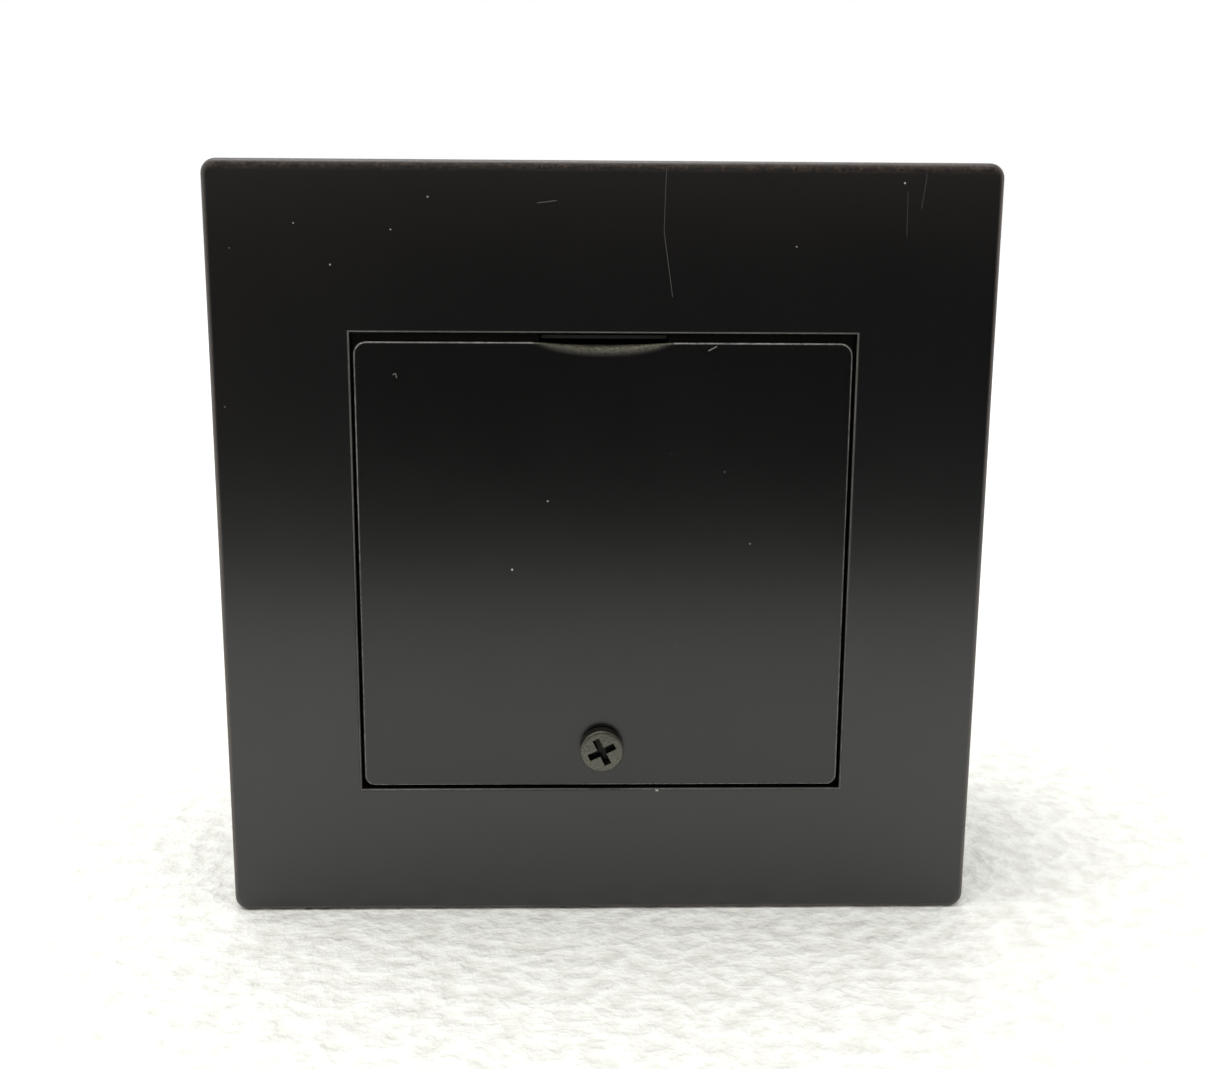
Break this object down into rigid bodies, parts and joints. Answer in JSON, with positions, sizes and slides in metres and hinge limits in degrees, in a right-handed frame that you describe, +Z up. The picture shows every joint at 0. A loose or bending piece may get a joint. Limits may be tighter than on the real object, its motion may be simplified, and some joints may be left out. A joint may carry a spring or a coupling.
{
  "type": "watch demagnetizer",
  "caption": "Square black pulse demagnetizer for watches, standing on its edge, with a screwed battery door on one face and a round pad and push button on the other.",
  "frame": {"origin": "middle of the lower edge face that it stands on, halfway through the case from the hatch face to the watch side", "axes": "+Z up as it stands, -Y out of the battery hatch face, +Y out of the watch side, +X to the right when looking at the hatch"},
  "size_m": [0.1, 0.0508, 0.1],
  "materials": {
    "case_shell": "satin",
    "door_shell": "satin",
    "tray_abs": "satin",
    "latch_bronze": "satin",
    "door_foam": "matte",
    "panel_shell": "satin",
    "pad": "matte",
    "button": "gloss",
    "black_screw": "satin",
    "steel_screw": "satin",
    "spring_steel": "satin",
    "brass": "satin",
    "contact_nickel": "gloss",
    "cell_sleeve": "gloss",
    "winding_copper": "gloss",
    "bobbin_nylon": "matte",
    "board_laminate": "satin",
    "chip_epoxy": "matte",
    "capacitor_sleeve": "satin",
    "film_box": "satin",
    "ferrite": "matte",
    "clear_acrylic": "gloss",
    "lead_red": "satin",
    "lead_black": "satin"
  },
  "bodies": {
    "case": {"housing": "case_shell", "battery_tray": "tray_abs", "watch_panel": "panel_shell", "watch_pad": "pad", "door_insert": "brass", "coil_bobbin": "bobbin_nylon", "coil_winding": "winding_copper", "coil_clamp_washer": "brass", "coil_clamp_screw": "brass", "coil_lead_1": "winding_copper", "coil_lead_2": "winding_copper", "circuit_board": "board_laminate", "storage_capacitor_1": "capacitor_sleeve", "storage_capacitor_2": "capacitor_sleeve", "film_capacitor": "film_box", "transformer_core": "ferrite", "transformer_winding": "winding_copper", "power_switch": "chip_epoxy", "control_chip": "chip_epoxy", "rectifier_diode": "chip_epoxy", "button_switch": "chip_epoxy", "signal_lamp": "clear_acrylic", "light_guide": "clear_acrylic", "contact_plus": "contact_nickel", "contact_minus": "contact_nickel", "contact_link_left": "contact_nickel", "contact_link_right": "contact_nickel", "battery_lead_plus": "lead_red", "battery_lead_minus": "lead_black", "button_spring": "spring_steel", "case_screw_1": "black_screw", "board_screw_1": "steel_screw", "tray_screw_1": "steel_screw", "case_screw_2": "black_screw", "board_screw_2": "steel_screw", "tray_screw_2": "steel_screw", "case_screw_3": "black_screw", "board_screw_3": "steel_screw", "tray_screw_3": "steel_screw", "case_screw_4": "black_screw", "board_screw_4": "steel_screw", "tray_screw_4": "steel_screw", "aa_cell_1": "cell_sleeve", "contact_spring_1": "spring_steel", "aa_cell_2": "cell_sleeve", "contact_spring_2": "spring_steel", "aa_cell_3": "cell_sleeve", "contact_spring_3": "spring_steel"},
    "battery_door": {"battery_door": "door_shell", "door_latch": "latch_bronze", "door_pad": "door_foam"},
    "screw_carrier": {"screw_clip": "spring_steel"},
    "door_screw": {"door_screw": "black_screw"},
    "button": {"button_cap": "button", "switch_plunger": "chip_epoxy"}
  },
  "joints": [
    {"name": "door_lift", "type": "slide", "parent": "case", "child": "battery_door", "axis": [0, -1, 0], "range_m": [0, 0.03]},
    {"name": "screw_travel", "type": "slide", "parent": "battery_door", "child": "screw_carrier", "axis": [0, -1, 0], "range_m": [0, 0.0035]},
    {"name": "screw_turn", "type": "hinge", "parent": "screw_carrier", "child": "door_screw", "pos_m": [0, -0.0234, 0.0233], "axis": [0, -1, 0], "range_deg": [0, 2520]},
    {"name": "button_press", "type": "slide", "parent": "case", "child": "button", "axis": [0, -1, 0], "range_m": [0, 0.0012], "stiffness_N_per_m": 600, "springref_m": -0.002, "deforming": ["button_spring"]}
  ],
  "couplings": [
    {"joint": "screw_turn", "follows": "screw_travel", "rad_per_m": 12566}
  ]
}
